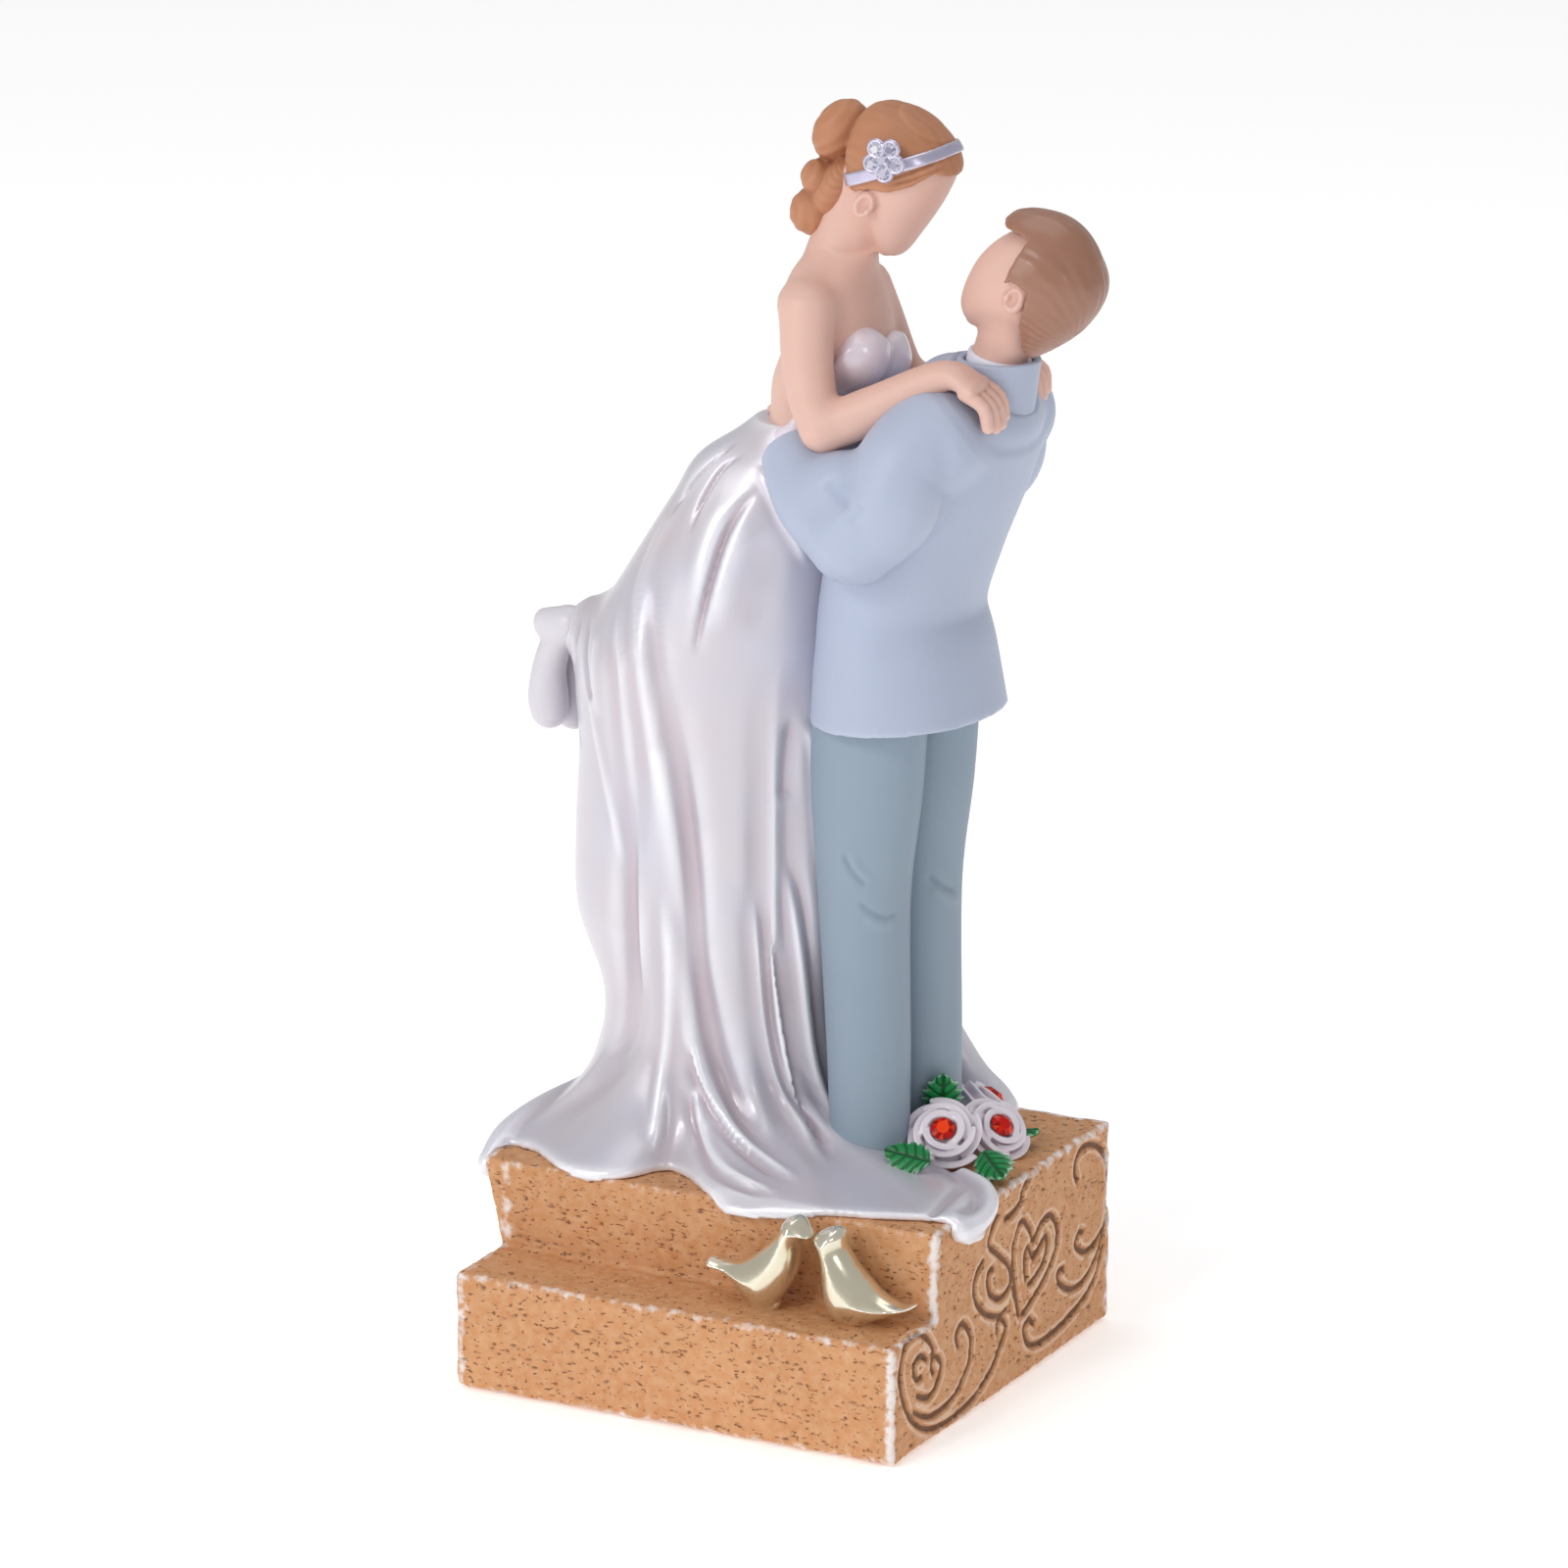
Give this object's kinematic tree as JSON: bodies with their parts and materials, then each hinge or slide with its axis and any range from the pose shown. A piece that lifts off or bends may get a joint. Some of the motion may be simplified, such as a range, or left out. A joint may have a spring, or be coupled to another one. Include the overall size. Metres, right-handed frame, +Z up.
{
  "type": "wedding cake topper",
  "caption": "Painted resin cake topper of a groom lifting a bride on a stepped stone-finish plinth with roses and a pair of gold birds.",
  "frame": {"origin": "middle of the plinth's square footprint, on the underside of the felt pad", "axes": "+Z up, +X along the step towards the groom, +Y from the step to the back"},
  "size_m": [0.0775, 0.06, 0.1596],
  "materials": {
    "stone_finish_resin": "cast resin with a pitted tan stone finish, dry-brushed white on the worn edges",
    "felt": "glued felt",
    "dowel_steel": "plain steel rod",
    "skin_paint": "satin flesh paint on resin",
    "bride_hair_paint": "satin ginger-brown paint on resin with combed grooves",
    "groom_hair_paint": "satin brown paint on resin",
    "jacket_paint": "satin periwinkle-grey paint on resin",
    "trouser_paint": "satin blue-grey paint on resin",
    "shirt_paint": "satin white paint on resin",
    "gown_pearl": "pearl-white lacquer on resin",
    "shoe_pearl": "grey-white pearl lacquer on resin",
    "silver_paint": "silver metallic paint on resin",
    "crystal": "faceted clear stone",
    "gold_paint": "pale-gold metallic paint on resin",
    "rose_pearl": "pearl-white lacquer on resin",
    "ruby_glass": "faceted red stone",
    "leaf_paint": "deep-green gloss paint with dry-brushed tips"
  },
  "bodies": {
    "root": {"plinth": "stone_finish_resin", "felt_pad": "felt", "groom_left_leg_dowel": "dowel_steel", "groom_right_leg_dowel": "dowel_steel", "gown_dowel": "dowel_steel", "left_bird": "gold_paint", "right_bird": "gold_paint", "groom_left_trouser_leg": "trouser_paint", "groom_right_trouser_leg": "trouser_paint", "groom_head": "skin_paint", "groom_shirt_collar": "shirt_paint", "groom_jacket": "jacket_paint", "groom_jacket_collar": "jacket_paint", "groom_hair": "groom_hair_paint", "groom_left_upper_sleeve": "jacket_paint", "groom_right_upper_sleeve": "jacket_paint", "groom_left_fore_sleeve": "jacket_paint", "groom_right_fore_sleeve": "jacket_paint", "bride_head": "skin_paint", "bride_torso": "skin_paint", "bride_right_upper_arm": "skin_paint", "bride_left_upper_arm": "skin_paint", "bride_right_forearm": "skin_paint", "bride_left_forearm": "skin_paint", "gown_bodice": "gown_pearl", "bride_hair": "bride_hair_paint", "bride_upper_bun": "bride_hair_paint", "bride_lower_bun": "bride_hair_paint", "headband": "silver_paint", "flower_crystal_1": "crystal", "flower_crystal_2": "crystal", "flower_crystal_3": "crystal", "flower_crystal_4": "crystal", "flower_crystal_5": "crystal", "flower_crystal_6": "crystal", "headband_flower": "silver_paint", "groom_left_hand": "skin_paint", "groom_right_hand": "skin_paint", "gown_skirt": "gown_pearl", "bride_right_shoe": "shoe_pearl", "bride_left_shoe": "shoe_pearl", "rose_gem_1": "ruby_glass", "rose_gem_2": "ruby_glass", "rose_gem_3": "ruby_glass", "rose_1": "rose_pearl", "rose_2": "rose_pearl", "rose_3": "rose_pearl", "leaf_1": "leaf_paint", "leaf_2": "leaf_paint", "leaf_3": "leaf_paint", "leaf_4": "leaf_paint", "leaf_5": "leaf_paint"}
  },
  "joints": []
}
